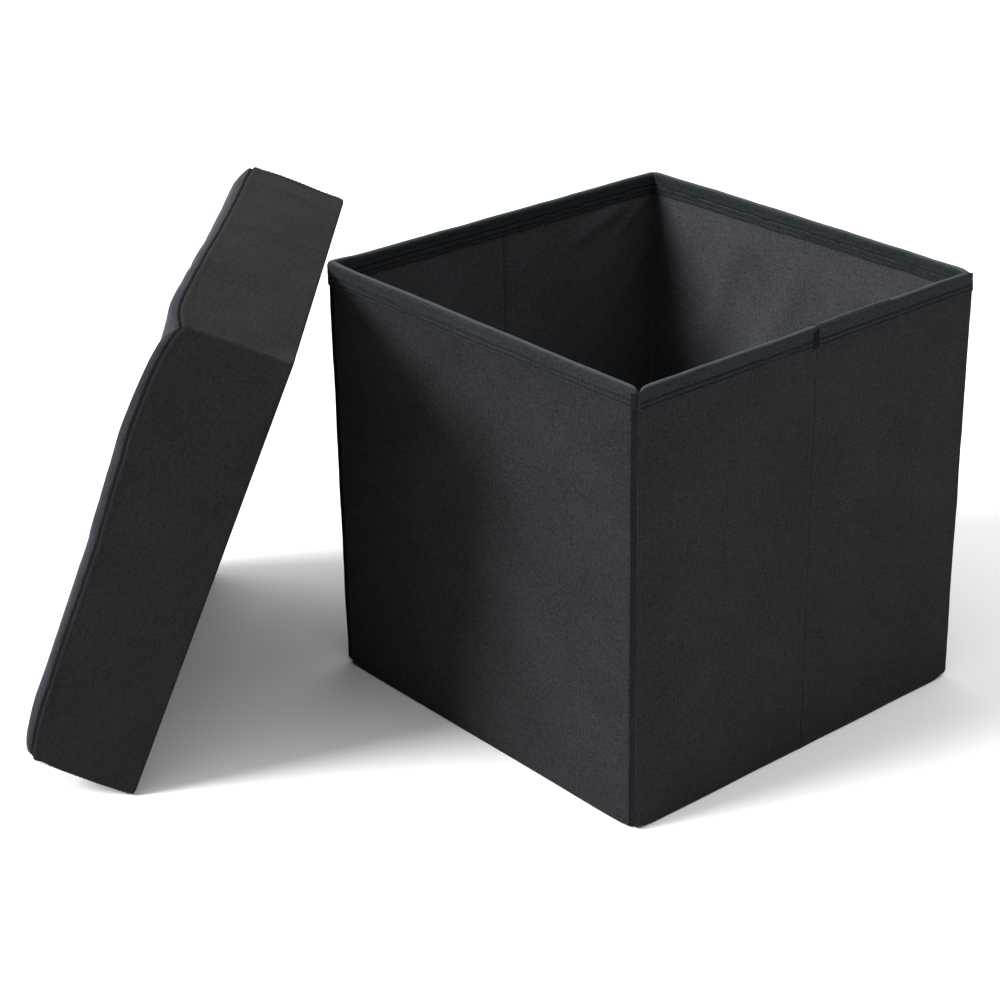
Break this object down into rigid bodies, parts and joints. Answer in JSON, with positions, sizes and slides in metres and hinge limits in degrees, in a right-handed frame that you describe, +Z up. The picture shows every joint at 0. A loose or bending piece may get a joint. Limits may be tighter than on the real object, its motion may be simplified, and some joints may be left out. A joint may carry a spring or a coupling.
{
  "type": "storage ottoman",
  "caption": "Folding fabric cube ottoman, open at the top, with a creased front and back, a loose base board and a padded lift-off lid leaning on one corner.",
  "frame": {"origin": "middle of the box's footprint on the floor; the lid stands outside the box to its left and back", "axes": "+Z up; the creased walls face -Y (front) and +Y (back), the stiff walls face -X (left) and +X (right)"},
  "size_m": [0.7088, 0.6713, 0.4125],
  "materials": {
    "cover_fabric": "matte",
    "lid_fabric": "matte",
    "lining_fabric": "matte",
    "binding_tape": "matte",
    "piping_cord": "matte",
    "fibreboard": "matte",
    "foam": "matte"
  },
  "bodies": {
    "left_wall": {"left_wall_cover": "cover_fabric", "left_wall_board": "fibreboard", "left_wall_lining": "lining_fabric", "left_wall_binding": "binding_tape", "front_left_corner_seam": "cover_fabric", "back_left_corner_seam": "cover_fabric", "fabric_floor": "cover_fabric"},
    "front_left_half": {"front_left_cover": "cover_fabric", "front_left_board": "fibreboard", "front_left_lining": "lining_fabric", "front_left_binding": "binding_tape"},
    "front_right_half": {"front_right_cover": "cover_fabric", "front_right_board": "fibreboard", "front_right_lining": "lining_fabric", "front_right_binding": "binding_tape"},
    "right_wall": {"right_wall_cover": "cover_fabric", "right_wall_board": "fibreboard", "right_wall_lining": "lining_fabric", "right_wall_binding": "binding_tape", "front_right_corner_seam": "cover_fabric", "back_right_corner_seam": "cover_fabric"},
    "back_left_half": {"back_left_cover": "cover_fabric", "back_left_board": "fibreboard", "back_left_lining": "lining_fabric", "back_left_binding": "binding_tape"},
    "back_right_half": {"back_right_cover": "cover_fabric", "back_right_board": "fibreboard", "back_right_lining": "lining_fabric", "back_right_binding": "binding_tape"},
    "base": {"base_board": "fibreboard", "base_cover": "lining_fabric", "base_pull_tab": "binding_tape"},
    "lid": {"lid_top_cover": "lid_fabric", "lid_foam_pad": "foam", "lid_board": "fibreboard", "lid_lining": "lining_fabric", "lid_piping": "piping_cord", "lid_left_skirt_cover": "lid_fabric", "lid_left_skirt_board": "fibreboard", "lid_left_skirt_lining": "lining_fabric", "lid_right_skirt_cover": "lid_fabric", "lid_right_skirt_board": "fibreboard", "lid_right_skirt_lining": "lining_fabric", "lid_front_skirt_cover": "lid_fabric", "lid_front_skirt_board": "fibreboard", "lid_front_skirt_lining": "lining_fabric", "lid_back_skirt_cover": "lid_fabric", "lid_back_skirt_board": "fibreboard", "lid_back_skirt_lining": "lining_fabric"}
  },
  "joints": [
    {"name": "side_fold", "type": "hinge", "parent": "left_wall", "child": "front_left_half", "pos_m": [-0.1838, -0.1838, 0.19], "axis": [0, 0, 1], "range_deg": [0, 90], "deforming": ["fabric_floor"]},
    {"name": "front_crease", "type": "hinge", "parent": "front_left_half", "child": "front_right_half", "pos_m": [0, -0.1912, 0.19], "axis": [0, 0, 1], "range_deg": [-180, 0]},
    {"name": "front_right_corner", "type": "hinge", "parent": "front_right_half", "child": "right_wall", "pos_m": [0.1838, -0.1838, 0.19], "axis": [0, 0, 1], "range_deg": [0, 90]},
    {"name": "back_left_corner", "type": "hinge", "parent": "left_wall", "child": "back_left_half", "pos_m": [-0.1838, 0.1838, 0.19], "axis": [0, 0, 1], "range_deg": [-90, 0]},
    {"name": "back_crease", "type": "hinge", "parent": "back_left_half", "child": "back_right_half", "pos_m": [0, 0.1912, 0.19], "axis": [0, 0, 1], "range_deg": [0, 180]},
    {"name": "base_lift", "type": "slide", "parent": "left_wall", "child": "base", "axis": [0, 0, 1], "range_m": [0, 0.42]},
    {"name": "lid_tip", "type": "hinge", "parent": "left_wall", "child": "lid", "pos_m": [-0.32148, 0.27568, 0], "axis": [-0.6733, -0.7394, 0], "range_deg": [0, 21.92]}
  ],
  "couplings": [
    {"joint": "front_crease", "follows": "side_fold", "ratio": -2},
    {"joint": "front_right_corner", "follows": "side_fold", "ratio": 1},
    {"joint": "back_left_corner", "follows": "side_fold", "ratio": -1},
    {"joint": "back_crease", "follows": "side_fold", "ratio": 2}
  ]
}
